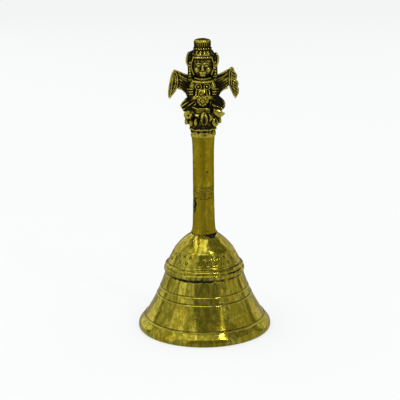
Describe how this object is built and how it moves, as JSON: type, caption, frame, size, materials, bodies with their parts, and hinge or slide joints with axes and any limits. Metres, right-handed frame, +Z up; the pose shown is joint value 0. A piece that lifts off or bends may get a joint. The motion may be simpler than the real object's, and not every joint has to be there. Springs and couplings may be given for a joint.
{
  "type": "hand bell",
  "caption": "Brass puja hand bell: flared bowl with a turned collar, slim round stem, cast winged figure on a lotus seat, and a clapper hanging on a link inside.",
  "frame": {"origin": "centre of the mouth rim, on the plane the bell stands on", "axes": "+Z up along the stem, -Y towards the front of the figure, +X to the figure's left hand as seen from the front on the right"},
  "size_m": [0.074, 0.074, 0.1615],
  "materials": {
    "bowl_brass": "turned and polished yellow brass, lightly tarnished",
    "stem_brass": "turned brass, darker and handled",
    "figure_brass": "sand-cast brass with black patina in the recesses and rubbed high points",
    "fitting_brass": "dull unpolished brass",
    "clapper_brass": "dull turned brass, worn bright where it strikes"
  },
  "bodies": {
    "bell": {"bell_bowl": "bowl_brass", "handle_stem": "stem_brass", "winged_figure": "figure_brass", "eye_bolt": "fitting_brass", "crown_washer": "fitting_brass", "lock_nut": "fitting_brass"},
    "link": {"clapper_link": "fitting_brass"},
    "clapper": {"clapper_rod": "clapper_brass", "clapper_ball": "clapper_brass"}
  },
  "joints": [
    {"name": "link_rock", "type": "hinge", "parent": "bell", "child": "link", "pos_m": [0, 0, 0.041], "axis": [1, 0, 0], "range_deg": [-14, 14]},
    {"name": "clapper_swing", "type": "hinge", "parent": "link", "child": "clapper", "pos_m": [0, 0, 0.03395], "axis": [0, 1, 0], "range_deg": [-42, 42]}
  ]
}
